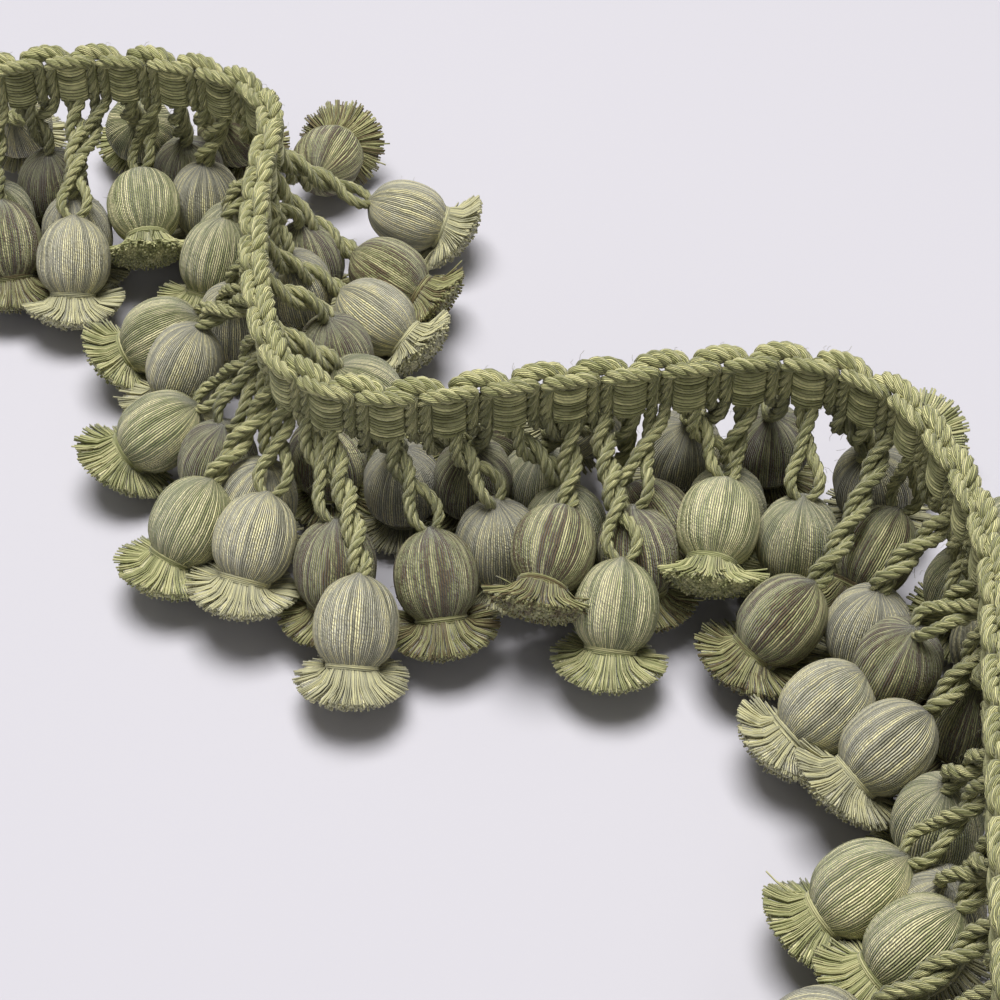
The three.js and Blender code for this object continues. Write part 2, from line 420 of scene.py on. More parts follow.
# %% Thread lines group
thread_lines, given, result = new_group(
    "thread_lines",
    [
        ("Threads", "NodeSocketFloat", 8.0),
        ("Slant", "NodeSocketFloat", 0.0),
        ("Drift", "NodeSocketFloat", 0.0),
        ("Beads", "NodeSocketFloat", 20.0),
    ],
    [
        ("Tone", "NodeSocketFloat"),
        ("Streak", "NodeSocketFloat"),
        ("Ridge", "NodeSocketFloat"),
        ("Bead", "NodeSocketFloat"),
    ],
)
tree = thread_lines
weave_map = tree.nodes.new("ShaderNodeUVMap")
weave_map.uv_map = "threads"
split = tree.nodes.new("ShaderNodeSeparateXYZ")
tree.links.new(weave_map.outputs[0], split.inputs[0])
own_tone = tree.nodes.new("ShaderNodeAttribute")
own_tone.attribute_name = "tone"
place_node = tree.nodes.new("ShaderNodeTexCoord")
wander = sums(tree, "SUBTRACT", noise(tree, place_node.outputs["Object"], 260.0, 1.0), 0.5)
slanted = sums(tree, "MULTIPLY_ADD", split.outputs[1], given.outputs["Slant"], split.outputs[0])
across = sums(tree, "MULTIPLY", slanted, given.outputs["Threads"])
across = sums(tree, "MULTIPLY_ADD", wander, given.outputs["Drift"], across)
number = sums(tree, "FLOORED_MODULO", sums(tree, "FLOOR", across), given.outputs["Threads"])
chance = tree.nodes.new("ShaderNodeTexWhiteNoise")
chance.noise_dimensions = "2D"
seed = sums(tree, "MULTIPLY", own_tone.outputs["Fac"], 877.0)
tree.links.new(as_vector(tree, number, seed, 0.0), chance.inputs["Vector"])
tree.links.new(chance.outputs["Value"], result.inputs["Tone"])
run = split.outputs[1]
bands = as_vector(tree, sums(tree, "MULTIPLY", number, 0.47), sums(tree, "MULTIPLY", run, 0.45), seed)
single = as_vector(tree, sums(tree, "MULTIPLY", number, 7.3), sums(tree, "MULTIPLY", run, 2.1), seed)
streak = sums(tree, "MULTIPLY_ADD", sums(tree, "SUBTRACT", noise(tree, bands, 1.0, 1.0), 0.5), 0.6, 0.5)
streak = sums(tree, "MULTIPLY_ADD", sums(tree, "SUBTRACT", noise(tree, single, 1.0), 0.5), 0.55, streak)
tree.links.new(streak, result.inputs["Streak"])
centred = sums(tree, "MULTIPLY_ADD", sums(tree, "FRACT", across), 2.0, -1.0)
crown = sums(tree, "SUBTRACT", 1.0, sums(tree, "MULTIPLY", centred, centred))
tree.links.new(crown, result.inputs["Ridge"])
turns = sums(tree, "MULTIPLY", split.outputs[1], given.outputs["Beads"])
turns = sums(tree, "MULTIPLY_ADD", centred, 0.4, turns)
speckle = noise(tree, as_vector(tree, sums(tree, "MULTIPLY", number, 5.3), turns, seed), 1.0, 1.0)
speckle = sums(tree, "MULTIPLY_ADD", sums(tree, "SUBTRACT", speckle, 0.5), 3.2, 0.5, clamp=True)
tree.links.new(speckle, result.inputs["Bead"])
print("thread lines group:", len(tree.nodes), "nodes")

# %% Cut ends group
cut_dots, given, result = new_group(
    "cut_dots",
    [("Beads", "NodeSocketFloat", 20.0)],
    [
        ("Tone", "NodeSocketFloat"),
        ("Streak", "NodeSocketFloat"),
        ("Ridge", "NodeSocketFloat"),
        ("Bead", "NodeSocketFloat"),
    ],
)
tree = cut_dots
place_node = tree.nodes.new("ShaderNodeTexCoord")
cells = tree.nodes.new("ShaderNodeTexVoronoi")
tree.links.new(place_node.outputs["Object"], cells.inputs["Vector"])
tree.links.new(sums(tree, "MULTIPLY", given.outputs["Beads"], 100.0), cells.inputs["Scale"])
shades = tree.nodes.new("ShaderNodeSeparateColor")
tree.links.new(cells.outputs["Color"], shades.inputs["Color"])
tree.links.new(shades.outputs[0], result.inputs["Tone"])
tree.links.new(shades.outputs[1], result.inputs["Bead"])
tree.links.new(noise(tree, place_node.outputs["Object"], 300.0), result.inputs["Streak"])
# Each cut end is brightest at its centre; through the colour group the edges between the ends get painted
# shade.
hollow = sums(tree, "MULTIPLY", cells.outputs["Distance"], cells.outputs["Distance"])
round_end = sums(tree, "MULTIPLY_ADD", hollow, -2.6, 1.0, clamp=True)
tree.links.new(round_end, result.inputs["Ridge"])
print("cut ends group:", len(tree.nodes), "nodes")

# %% Thread colour group
thread_colour, given, result = new_group(
    "thread_colour",
    [
        ("Tone", "NodeSocketFloat", 0.5),
        ("Streak", "NodeSocketFloat", 0.5),
        ("Ridge", "NodeSocketFloat", 1.0),
        ("Bead", "NodeSocketFloat", 0.5),
        ("Light thread", "NodeSocketColor", linear("cbc794")),
        ("Main thread", "NodeSocketColor", linear("9aa06c")),
        ("Accent thread", "NodeSocketColor", linear("76814f")),
        ("Light share", "NodeSocketFloat", 0.35),
        ("Accent share", "NodeSocketFloat", 0.3),
        # This sets how dark the painted shade in the gaps between threads is.
        ("Painted gap shade", "NodeSocketFloat", 0.6),
        # This shifts thread colours as a real two-colour ply does, and lightens and darkens the beads as
        # painted glints.
        ("Marl and glints", "NodeSocketFloat", 0.5),
        ("Spread", "NodeSocketFloat", 0.4),
    ],
    [("Colour", "NodeSocketColor")],
)
tree = thread_colour
pull = sums(tree, "MULTIPLY_ADD", sums(tree, "SUBTRACT", given.outputs["Streak"], 0.5), 2.4, 0.25)
pull = sums(tree, "MULTIPLY_ADD", given.outputs["Tone"], 0.5, pull)
# The bead's twist shifts which thread colour shows, as in a real two-colour ply.
twist = sums(tree, "SUBTRACT", given.outputs["Bead"], 0.5)
pull = sums(tree, "MULTIPLY_ADD", twist, sums(tree, "MULTIPLY", given.outputs["Marl and glints"], 0.5), pull)
below = sums(tree, "SUBTRACT", given.outputs["Light share"], pull)
above = sums(tree, "SUBTRACT", pull, sums(tree, "SUBTRACT", 1.0, given.outputs["Accent share"]))
is_light = sums(tree, "MULTIPLY_ADD", below, 4.0, 0.5, clamp=True)
is_accent = sums(tree, "MULTIPLY_ADD", above, 4.0, 0.5, clamp=True)
colour = blend(tree, is_light, given.outputs["Main thread"], given.outputs["Light thread"])
colour = blend(tree, is_accent, colour, given.outputs["Accent thread"])
# Painted glints: the bead's twist lightens and darkens the colour along each thread.
lift = sums(tree, "MULTIPLY_ADD", sums(tree, "MULTIPLY", twist, given.outputs["Marl and glints"]), 0.62, 1.03)
brighter = sums(tree, "SUBTRACT", 0.5, given.outputs["Tone"])
lift = sums(tree, "MULTIPLY", lift, sums(tree, "MULTIPLY_ADD", brighter, given.outputs["Spread"], 1.04))
# Painted shade between threads: the colour darkens where a thread's crown falls into the gap, deeper along
# some streaks than others.
gap = sums(tree, "SUBTRACT", 1.0, sums(tree, "MULTIPLY", given.outputs["Ridge"], 1.35, clamp=True))
uneven = sums(tree, "MULTIPLY_ADD", given.outputs["Streak"], 1.6, 0.2)
gap = sums(tree, "MULTIPLY", sums(tree, "MULTIPLY", gap, given.outputs["Painted gap shade"]), uneven, clamp=True)
lift = sums(tree, "MULTIPLY", lift, sums(tree, "SUBTRACT", 1.0, gap))
# Each piece's shade attribute scales its brightness: its own tone, and for some tassels painted shade or
# painted light.
own_shade = tree.nodes.new("ShaderNodeAttribute")
own_shade.attribute_name = "shade"
lift = sums(tree, "MULTIPLY", lift, own_shade.outputs["Fac"])
colour = blend(tree, 1.0, colour, as_vector(tree, lift, lift, lift), "MULTIPLY")
tree.links.new(colour, result.inputs["Colour"])
print("thread colour group:", len(tree.nodes), "nodes")


# %% A yarn material
def yarn(name, colours, shares, pattern, given, gap=0.6, relief=0.25, marl_and_glints=0.5, spread=0.4, shine=0.35):
    """Threads or cut ends in three colours, with painted shade in the gaps and painted glints on the beads;
    relief is the height of a thread's crown in mm.
    """
    look = bpy.data.materials.new(name)
    look.use_nodes = True
    tree = look.node_tree
    shader = tree.nodes["Principled BSDF"]
    lines = tree.nodes.new("ShaderNodeGroup")
    lines.node_tree = pattern
    for label, value in given.items():
        lines.inputs[label].default_value = value
    paint = tree.nodes.new("ShaderNodeGroup")
    paint.node_tree = thread_colour
    for label in ("Tone", "Streak", "Ridge", "Bead"):
        tree.links.new(lines.outputs[label], paint.inputs[label])
    for label, code in zip(("Light thread", "Main thread", "Accent thread"), colours):
        paint.inputs[label].default_value = linear(code)
    paint.inputs["Light share"].default_value, paint.inputs["Accent share"].default_value = shares
    # The gap value is the depth of the painted shade between threads; the next value gives the two-colour
    # ply and the painted glints.
    paint.inputs["Painted gap shade"].default_value = gap
    paint.inputs["Marl and glints"].default_value = marl_and_glints
    paint.inputs["Spread"].default_value = spread
    tree.links.new(paint.outputs["Colour"], shader.inputs["Base Color"])
    rough = sums(tree, "MULTIPLY_ADD", lines.outputs["Ridge"], -0.22, 0.86)
    tree.links.new(rough, shader.inputs["Roughness"])
    height = sums(tree, "MULTIPLY_ADD", lines.outputs["Bead"], 0.4, lines.outputs["Ridge"])
    bump = tree.nodes.new("ShaderNodeBump")
    bump.inputs["Strength"].default_value = 1.0
    bump.inputs["Distance"].default_value = relief * MM
    tree.links.new(height, bump.inputs["Height"])
    tree.links.new(bump.outputs["Normal"], shader.inputs["Normal"])
    shader.inputs["Specular IOR Level"].default_value = shine
    shader.inputs["Sheen Weight"].default_value = 0.3
    shader.inputs["Sheen Roughness"].default_value = 0.45
    return look


WOUND_BLENDS = {
    "pale": ("ede6b6", "cdcab1", "a8a68a"),
    "green": ("e4deae", "babc88", "939866"),
    "brown": ("d0ca98", "a1a46f", "736145"),
}
CUT_BLENDS = {
    "pale": ("c2be94", "acaa8c", "98977a"),
    "green": ("b6b386", "9a9c6e", "838657"),
    "brown": ("a6a376", "898a5d", "6e6142"),
}
SHARES = {"pale": (0.42, 0.26), "green": (0.42, 0.3), "brown": (0.3, 0.4)}
CORD_BLEND = ("d8d49c", "b7b77f", "969864")
WARP_BLEND = ("d9d6a0", "afaf7f", "8a8b5d")
# In these finishes gap is the painted shade between threads or cut ends, and the ply value both mixes thread
# colours and paints glints on the beads.
WOUND = {"gap": 0.85, "relief": 0.6, "marl_and_glints": 0.7, "spread": 0.46}
CUT = {"gap": 0.1, "relief": 0.05, "marl_and_glints": 0.2, "spread": 0.3}
FACE = {"gap": 0.4, "relief": 0.15, "marl_and_glints": 0.4, "spread": 0.5}
CORD = {"gap": 0.6, "relief": 0.32, "marl_and_glints": 0.5, "spread": 0.45, "shine": 0.15}
WARP_LOOK = {"gap": 0.9, "relief": 0.2, "marl_and_glints": 0.5}
round_ball = {"Threads": 104, "Drift": 0.8, "Beads": 17}
one_thread = {"Threads": 1, "Beads": 7}
laid_cord = {"Threads": 15, "Slant": 0.4, "Drift": 1.2, "Beads": 9}
cut_end = {"Beads": 17}
warp_rows = {"Threads": 13, "Beads": 12}


def three_blends(part, blends, pattern, given, numbers):
    """The same finish in the pale, the green and the brown blend."""
    return {
        kind: yarn(f"{part}_{kind}", blends[kind], SHARES[kind], pattern, given, **numbers)
        for kind in SHARES
    }


wound = three_blends("wound", WOUND_BLENDS, thread_lines, round_ball, WOUND)
cut = three_blends("cut", CUT_BLENDS, thread_lines, one_thread, CUT)
face = three_blends("face", CUT_BLENDS, cut_dots, cut_end, FACE)
cord_look = yarn("weft_cord", CORD_BLEND, (0.36, 0.34), thread_lines, laid_cord, **CORD)
warp_look = yarn("warp_threads", WARP_BLEND, (0.3, 0.34), thread_lines, warp_rows, **WARP_LOOK)
print("yarn materials:", len(bpy.data.materials))

# %% Table
table_look = bpy.data.materials.new("table")
table_look.use_nodes = True
tree = table_look.node_tree
shader = tree.nodes["Principled BSDF"]
table_place = tree.nodes.new("ShaderNodeTexCoord")
mottle = noise(tree, table_place.outputs["Object"], 3.0)
colour = blend(tree, mottle, (0.545, 0.536, 0.592, 1.0), (0.56, 0.551, 0.607, 1.0))
tree.links.new(colour, shader.inputs["Base Color"])
shader.inputs["Roughness"].default_value = 0.8
shader.inputs["Specular IOR Level"].default_value = 0.2
table = Skein()
corner = np.array([[-3000, -3000], [3000, -3000], [3000, 5000], [-3000, 5000]], float)
flat = np.concatenate([corner, np.zeros((4, 1))], axis=1)
table.add(flat, 0.5, [[0, 1, 2, 3]], corner / 1000, 0)
table_piece = table.build("table", [table_look])
table_piece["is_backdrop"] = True
print("table laid")

# %% [markdown]
# ## The tassels
# Each tassel hangs from a half pitch of the band and lies where it fell, so it needs its own row:
# its yarn, where its hanger leaves the band, and where and how the ball lies. The rows and the few
# sizes are the CAD's own, and the box of every tassel is checked against its CAD node.

# %% A row for each tassel
COLUMNS = ["yarn", "root", "along", "out", "lift", "dip", "swing"]
TASSELS = [
    ("green", 6, -2, 22, 0, 48, 8),
    ("brown", 13, 0, -27, 0, 53, -14),
    ("brown", 31, 4, -1, 0, 86, 0),
    ("pale", 35, -6, 30, 0, 45, -10),
    ("pale", 42, -1, -41, 0, 50, -10),
    ("green", 57, 0, 24, 0, 46, 12),
    ("green", 66, 2, -18, 5, 26, 20),
    ("pale", 87, -3, -5, 0, 82, 4),
    ("brown", 79, 0, 26, 0, 50, 0),
    ("brown", 97, 0, 33, 2, 6, 25),
    ("green", 112, 19, -17, 0, 54, 70),
    ("pale", 107, 7, 38, 0, 20, -24),
    ("brown", 128, 1, 31, 0, 20, -22),
    ("pale", 149, 6, -9, 0, 86, 0),
    ("pale", 154, -2, 29, 0, 26, -28),
    ("brown", 170, 1, 19, 0, 82, -20),
    ("pale", 175, 0, -21, 0, 62, 30),
    ("green", 196, 1, -28, 0, 32, 8),
    ("green", 191, 2, 25, 0, 56, 0),
    ("brown", 206, 6, -15, 0, 78, 10),
    ("brown", 221, -6, 13, 0, 88, 0),
    ("green", 216, 8, -28, 0, 44, 18),
    ("pale", 225, 9, -22, 3, 43, 16),
    ("pale", 247, 10, 15, 0, 88, 0),
    ("brown", 233, 13, -20, 0, 64, 6),
    ("pale", 243, 9, -38, 0, 43, 0),
    ("brown", 252, 12, -22, 0, 46, 4),
    ("brown", 275, 6, 26, 0, 48, -6),
    ("pale", 268, 12, -11, 0, 82, -5),
    ("brown", 297, -5, -25, 11, 20, -26),
    ("green", 301, -6, 9, 0, 87, 0),
    ("green", 305, 0, -40, 0, 46, -20),
    ("brown", 320, -6, -22, 0, 66, 10),
    ("pale", 333, 0, 14, 0, 76, 10),
    ("green", 328, 7, -21, 9, 26, -20),
    ("brown", 352, 1, 15, 0, 80, -8),
    ("green", 362, 5, -19, 0, 78, 10),
    ("green", 372, 2, 27, 0, 14, 6),
    ("brown", 382, 29, -39, 0, 40, 18),
    ("green", 402, 0, 24, 0, 46, 0),
    ("pale", 410, 11, -20, 0, 80, 40),
    ("brown", 426, 0, 24, 0, 46, 0),
    ("pale", 434, 18, -33, 0, 34, 34),
    ("green", 453, -3, 24, 0, 50, -10),
    ("pale", 449, 19, -19, 5, 31, 36),
    ("brown", 461, -9, -1, 0, 85, 0),
    ("pale", 476, 1, 24, 0, 46, 10),
    ("green", 486, -2, -8, 0, 88, 0),
    ("green", 494, 12, -24, 0, 36, 26),
    ("brown", 502, 0, 24, 0, 50, 0),
    ("green", 513, 10, -13, 4, 40, 30),
    ("green", 528, 0, 24, 0, 46, -8),
    ("pale", 532, 15, -33, 0, 46, 0),
    ("brown", 550, 3, -13, 0, 82, 10),
    ("pale", 555, 0, 24, 0, 50, 6),
    ("green", 566, 5, -27, 0, 46, 0),
    ("brown", 579, 0, 22, 0, 46, 0),
]
tassels = [dict(zip(COLUMNS, row), number=k + 1) for k, row in enumerate(TASSELS)]
print("tassels:", len(tassels), {y: sum(t["yarn"] == y for t in tassels) for y in SHARES})

# %% Where each ball lies
BALL = {"radius": 10.2, "height": 21.5}
NECK = {"radius": 6.2}
SKIRT = {"radius": 12.0, "height": 8.2}
SQUASH = 1.4
TIP_TO_END = SKIRT["height"] + BALL["height"]
BALL_MIDDLE = SKIRT["height"] + BALL["height"] / 2
CAD_PROFILE = [
    (SKIRT["radius"], 0.0),
    (NECK["radius"], SKIRT["height"]),
    (BALL["radius"], SKIRT["height"] + BALL["height"] * 0.32),
    (BALL["radius"] * 0.92, SKIRT["height"] + BALL["height"] * 0.68),
    (0.0, TIP_TO_END),
]


def pointing(row):
    """Unit direction from a tassel's tip to its cut end."""
    outward = math.copysign(math.pi / 2, row["out"])
    yaw = facing_at(row["root"] + row["along"]) + outward + math.radians(row["swing"])
    down = math.radians(row["dip"])
    return np.array([math.cos(down) * math.cos(yaw), math.cos(down) * math.sin(yaw), -math.sin(down)])


def cad_corners(axis):
    """The turned CAD body's own corners round the ball's middle, to find its lowest point."""
    turn = Vector((0, 1, 0)).rotation_difference(Vector(-axis))
    angles = [2 * math.pi * k / 8 for k in range(8)]
    ring = [
        Vector((r * math.sin(a), h - BALL_MIDDLE, r * math.cos(a))) for r, h in CAD_PROFILE for a in angles
    ]
    return np.array([turn @ corner for corner in ring])


worst = 0.0
for row in tassels:
    row["axis"] = pointing(row)
    corners = cad_corners(row["axis"])
    station = row["root"] + row["along"]
    row["middle"] = beside(station, row["out"], row["lift"] - SQUASH - corners[:, 2].min())[0]
    row["node"] = f"tassel_{row['number']:02d}_{row['yarn']}"
    low, high = (np.array(corner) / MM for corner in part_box(row["node"]))
    reach = corners + row["middle"]
    inside = np.concatenate([low - reach[:, :].min(0).clip(min=[-1e9, -1e9, 0]), reach.max(0) - high])
    worst = max(worst, inside.max())
print("rows agree with the CAD boxes within mm:", round(worst, 2))

# %% Share out the half pitches
free = [PITCH / 2 * k for k in range(1, int(2 * LENGTH / PITCH))]
for row in sorted(tassels, key=lambda t: t["root"]):
    nearest = min(free, key=lambda station: abs(station - row["root"]))
    row["slot"] = nearest if abs(nearest - row["root"]) < 6.5 else float(row["root"])
    if row["slot"] in free:
        free.remove(row["slot"])
shift = [abs(row["slot"] - row["root"]) for row in tassels]
print("hangers moved to a half pitch by at most mm:", max(shift), "half pitches left:", len(free))

# %% [markdown]
# ## The tassels squeezed in behind
# A full fringe has a tassel at every half pitch. The CAD keeps to the ones that carry the trim, so
# the half pitches left over get theirs here. Each is tried in many places within reach of its
# hanger and takes the one where it least crowds the others, as a soft tassel would when the trim
# is laid down. It stands for the same CAD node as its nearest neighbour.

# %% Find room for the rest
TRIES = 6000


def crowding(middle, skirt_end, others):
    """How far, in mm squared, trial tassels press into the ones that already lie there."""
    press = np.zeros(len(middle))
    for other in others:
        ball_at, skirt_at = other["middle"], other["middle"] + 14.5 * other["axis"]
        for mine, theirs, room in (
            (middle, ball_at, 19.5),
            (middle, skirt_at, 18.0),
            (skirt_end, ball_at, 18.0),
            (skirt_end, skirt_at, 16.5),
        ):
            press += np.clip(room - np.linalg.norm(mine - theirs, axis=1), 0, None) ** 2
    return press


def in_view(middle, others):
    """How far, in mm, each trial ball stands aside from the nearest ball that screens it."""
    camera_at = np.array(camera.location) / MM
    towards = unit(camera_at - middle)
    aside = np.full(len(middle), 12.0)
    for other in others:
        across = other["middle"] - middle
        nearer = (across * towards).sum(axis=1)
        past = np.linalg.norm(across - nearer[:, None] * towards, axis=1)
        aside = np.where(nearer > 8, np.minimum(aside, past), aside)
    return aside


def try_places(slot, chance):
    station = slot + np.clip(chance.normal(0, 7, TRIES), -16, 16)
    out = chance.choice([-1, 1], TRIES) * chance.uniform(7, 36, TRIES)
    dip = np.radians(chance.uniform(20, 88, TRIES))
    yaw = course(station)[2] + np.sign(out) * np.pi / 2 + np.radians(chance.normal(0, 18, TRIES))
    axis = np.stack([np.cos(dip) * np.cos(yaw), np.cos(dip) * np.sin(yaw), -np.sin(dip)], axis=1)
    lowest = np.maximum(10.2, 17.0 * np.sin(dip) + 12.0 * np.cos(dip)) - SQUASH
    middle = beside(station, out, lowest + chance.uniform(0, 9, TRIES))
    return station, out, dip, axis, middle


for slot in free:
    number = len(tassels) + 1
    chance = np.random.default_rng(500 + number)
    station, out, dip, axis, middle = try_places(slot, chance)
    root = beside(slot, 0.0, BAND["bottom"])[0]
    tip = middle - 11 * axis
    reach = np.linalg.norm(tip - root, axis=1)
    cost = crowding(middle, middle + 14.5 * axis, tassels) + 0.12 * np.abs(out)
    cost += 0.3 * in_view(middle, tassels) ** 2
    cost += 4 * np.clip(16 - reach, 0, None) ** 2 + 4 * np.clip(reach - 30, 0, None) ** 2
    cost += 9 * np.clip(13.5 - np.abs(out), 0, None) ** 2 * (middle[:, 2] > 34)
    for share in (0.35, 0.6, 0.85):
        passing = root + share * (tip - root)
        gaps = [np.linalg.norm(passing - o["middle"], axis=1) for o in tassels]
        cost += sum(np.clip(11.5 - gap, 0, None) ** 2 for gap in gaps)
    best = int(np.argmin(cost))
    near_one = min(tassels[:57], key=lambda t: np.linalg.norm(t["middle"] - middle[best]))
    row = {"number": number, "slot": slot, "out": float(out[best]), "dip": math.degrees(dip[best])}
    row.update(axis=axis[best], middle=middle[best], node=near_one["node"])
    row["yarn"] = ("brown", "green", "pale")[number % 3]
    tassels.append(row)
    print(f"tassel {number} at {slot:5.1f}: out {row['out']:5.1f} dip {row['dip']:3.0f}")

# %% [markdown]
# ## The woven band
# On the real trim about a dozen fine warp threads run the length of the band. They cover the hidden
# legs of the back loops in raised blocks and dive between the upright columns. One closed sheet
# can show that: its thickness swells at each block and pinches at each pair of columns, and its
# rows rise and fall as threads, sagging a little in the middle of every block. Real ridges catch
# the light along the edge, which a bump would not.

# %% Block section of the band
rng = np.random.default_rng(7)
WARP_THREADS = 13
ROWS_PER_THREAD = 3
WARP = {"bottom": 46.3, "top": 58.6, "swell": 2.75, "edge": 2.0}
WARP.update(pinch=0.5, ridge=0.4, sag=0.8, half=4.0)
BLOCK_STEPS = [-4.2, -4.0, -3.3, -1.8, 0.0, 1.8, 3.3, 4.0, 4.2, 7.5]

blocks = int(LENGTH / PITCH) + 1
stations = np.concatenate([PITCH * k + np.array(BLOCK_STEPS) for k in range(blocks)])
stations = np.unique(np.clip(stations, 0, LENGTH))
offset = (stations + PITCH / 2) % PITCH - PITCH / 2
over_block = (np.abs(offset) < WARP["half"] + 0.1).astype(float)
barrel = 1 - np.clip(offset / WARP["half"], -1, 1) ** 2
print("band stations:", len(stations), "blocks:", blocks)

# %% Weave the band
rows = WARP_THREADS * ROWS_PER_THREAD + 1
level = np.linspace(0, 1, rows)
block_number = np.round(stations / PITCH).astype(int)
wobble = rng.normal(0, 0.15, (blocks + 1, WARP_THREADS))
slack = WARP["sag"] * (1 + rng.normal(0, 0.3, (blocks + 1, WARP_THREADS)))
crown = np.abs(np.sin(np.pi * level * WARP_THREADS)) ** 0.7
thread_of_row = np.minimum((level * WARP_THREADS).astype(int), WARP_THREADS - 1)
bulge = WARP["edge"] + (WARP["swell"] - WARP["edge"]) * barrel
thickness = WARP["pinch"] + (bulge - WARP["pinch"]) * over_block
edge_round = np.sqrt(np.clip(1 - (np.abs(level - 0.5) * 2) ** 7, 0, 1))
tucked = 1.6 * (1 - over_block)
droop = slack[block_number][:, thread_of_row] * (barrel * over_block - 0.4)[:, None]
height = WARP["bottom"] + tucked[:, None] - droop
height = height + level * (WARP["top"] - WARP["bottom"] - tucked[:, None] * 1.4)
height = height + wobble[block_number][:, thread_of_row] * np.sin(np.pi * level) ** 0.5
reach = thickness[:, None] + WARP["ridge"] * (crown - 1) * (0.4 + 0.6 * over_block[:, None])
reach = reach * (0.35 + 0.65 * edge_round)
reach[:, [0, -1]] *= 0.3
near = [beside(stations, -reach[:, r], height[:, r]) for r in range(rows)]
far = [beside(stations, reach[:, r], height[:, r]) for r in reversed(range(rows))]
band_rings = np.stack(near + far, axis=1)[None]
print("band rings:", band_rings.shape)

# %% Skin the band
band = Skein()
across = np.concatenate([level, level[::-1]])
ring_count = band_rings.shape[2]
index = np.arange(len(stations) * ring_count).reshape(len(stations), ring_count)
nxt = np.roll(index, -1, axis=1)
faces = np.stack([index[:-1], index[1:], nxt[1:], nxt[:-1]], axis=-1).reshape(-1, 4)
u_here = np.broadcast_to(across, (len(stations) - 1, ring_count))
u_next = np.broadcast_to(np.roll(across, -1), u_here.shape)
v_low = np.broadcast_to(stations[:-1, None] / 10, u_here.shape)
v_high = np.broadcast_to(stations[1:, None] / 10, u_here.shape)
weave = np.stack([u_here, v_low, u_here, v_high, u_next, v_high, u_next, v_low], axis=-1)
tones = (block_number[:, None] * 0.137) % 1.0 + np.zeros((1, ring_count))
band.add(band_rings[0], tones, faces, weave, 0)
for ring, order in ((index[0], 1), (index[-1], -1)):
    band.corners.append(ring[::order].copy())
    band.sizes.append(np.array([ring_count]))
    band.weave.append(np.stack([across[::order], np.zeros(ring_count)], axis=-1))
    band.looks.append(np.array([0]))
band_piece = band.build("woven_band", [warp_look])
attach(band_piece, "root")
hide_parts("heading")
print("band faces:", len(band_piece.data.polygons))


# %% [markdown]
# ## The weft cord
# The cord is three soft plies laid round each other. At the front each loop climbs one column,
# crosses a block and goes down the next column, so the columns and the front row of the top edge
# are one cord. Behind them the back loops spring from inside one block to the next as scallops.
# A cord is drawn as three real tubes twisted round its line, because the creases between plies
# are what makes it look laid, and no bump gives that at its edge.


# %% Lay a cord of three plies
def lay_cord(skein, line, ply, girth, lay, chance, sides=6, look=0):
    """Twist three plies round a line; girth scales the cord's width along it."""
    line = np.asarray(line, float)[None]
    forward, side, up = cross_directions(line)
    walked = lengths_along(line)[0]
    girth = np.broadcast_to(girth, walked.shape)
    phase = chance.random()
    for number in range(3):
        angle = 2 * np.pi * (phase + number / 3 + walked / lay)
        away = np.cos(angle)[:, None] * side[0] + np.sin(angle)[:, None] * up[0]
        strand = line[0] + away * (ply["offset"] * girth)[:, None]
        skein.tubes(strand[None], (ply["radius"] * girth)[None], sides, [chance.random()], look)
    at = chance.integers(1, len(walked) - 1, int(walked[-1] * HAIR["per_mm"]))
    turn = chance.random((len(at), 1)) * 2 * np.pi
    outward = np.cos(turn) * side[0, at] + np.sin(turn) * up[0, at]
    roots = line[0, at] + outward * ((ply["radius"] + ply["offset"]) * girth[at])[:, None] * 0.9
    hairs(skein, roots, outward, forward[0, at], HAIR["length"], chance, look)


PLY = {"radius": 1.12, "offset": 1.14}
CORD_LAY = 8.4
COLUMN = {"gap": 1.75, "girth": 0.8}
FRONT = {"height": 60.25, "out": -2.3, "girth": 0.93}
SHOULDER = [(0.0, -0.5, 52.5), (0.0, -0.7, 57.0), (0.1, -1.3, 59.2), (1.3, -2.15, 60.2)]
FOOT = [(0.0, -0.5, 49.0), (0.0, -0.5, 46.4)]
TURN_BACK = [(-1.75, -0.5, 47.8), (-1.4, -0.5, 45.8), (0.0, -0.5, 45.1)]
TURN_BACK += [(1.4, -0.5, 45.8), (1.75, -0.5, 47.8)]
print("cord width mm:", 2 * (PLY["radius"] + PLY["offset"]))


# %% Front loops and columns
def moved(shape, station, way=1):
    return [(station + way * along, out, height) for along, out, height in shape]


def lay_front(skein, path):
    path = np.array(path)
    walked = np.linalg.norm(np.diff(path, axis=0), axis=1).sum()
    steps = smooth_line(path, int(walked / 0.8))
    up = np.clip((steps[:, 2] - 57.0) / 3, 0, 1)
    girth = COLUMN["girth"] + (FRONT["girth"] - COLUMN["girth"]) * up
    gone = np.linspace(0, walked, len(steps))
    for apart, at_foot in ((gone, path[0, 2] < 50), (walked - gone, path[-1, 2] < 50)):
        if at_foot:
            girth = girth * np.clip(0.5 + apart / 6, 0, 1)
    lay_cord(skein, beside(steps[:, 0], steps[:, 1], steps[:, 2]), PLY, girth, CORD_LAY, rng)


hung = {row["slot"] for row in tassels}
front = Skein()
path = [(0.2, FRONT["out"], FRONT["height"])]
for pair in range(blocks - 1):
    centre = PITCH * (pair + 0.5)
    left, right = centre - COLUMN["gap"], centre + COLUMN["gap"]
    path += moved(SHOULDER, left, -1)[::-1]
    if centre in hung:
        lay_front(front, path + moved(FOOT, left))
        path = moved(FOOT, right)[::-1]
    else:
        path += moved(TURN_BACK, centre)
    path += moved(SHOULDER, right)
    last = pair == blocks - 2
    path += [(LENGTH - 0.2 if last else centre + PITCH / 2, FRONT["out"] - 0.15, FRONT["height"] + 0.1)]
lay_front(front, path)
front_piece = front.build("front_loops", [cord_look])
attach(front_piece, "root")
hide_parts("front_cord")
print("front loops:", blocks, "faces:", len(front_piece.data.polygons))

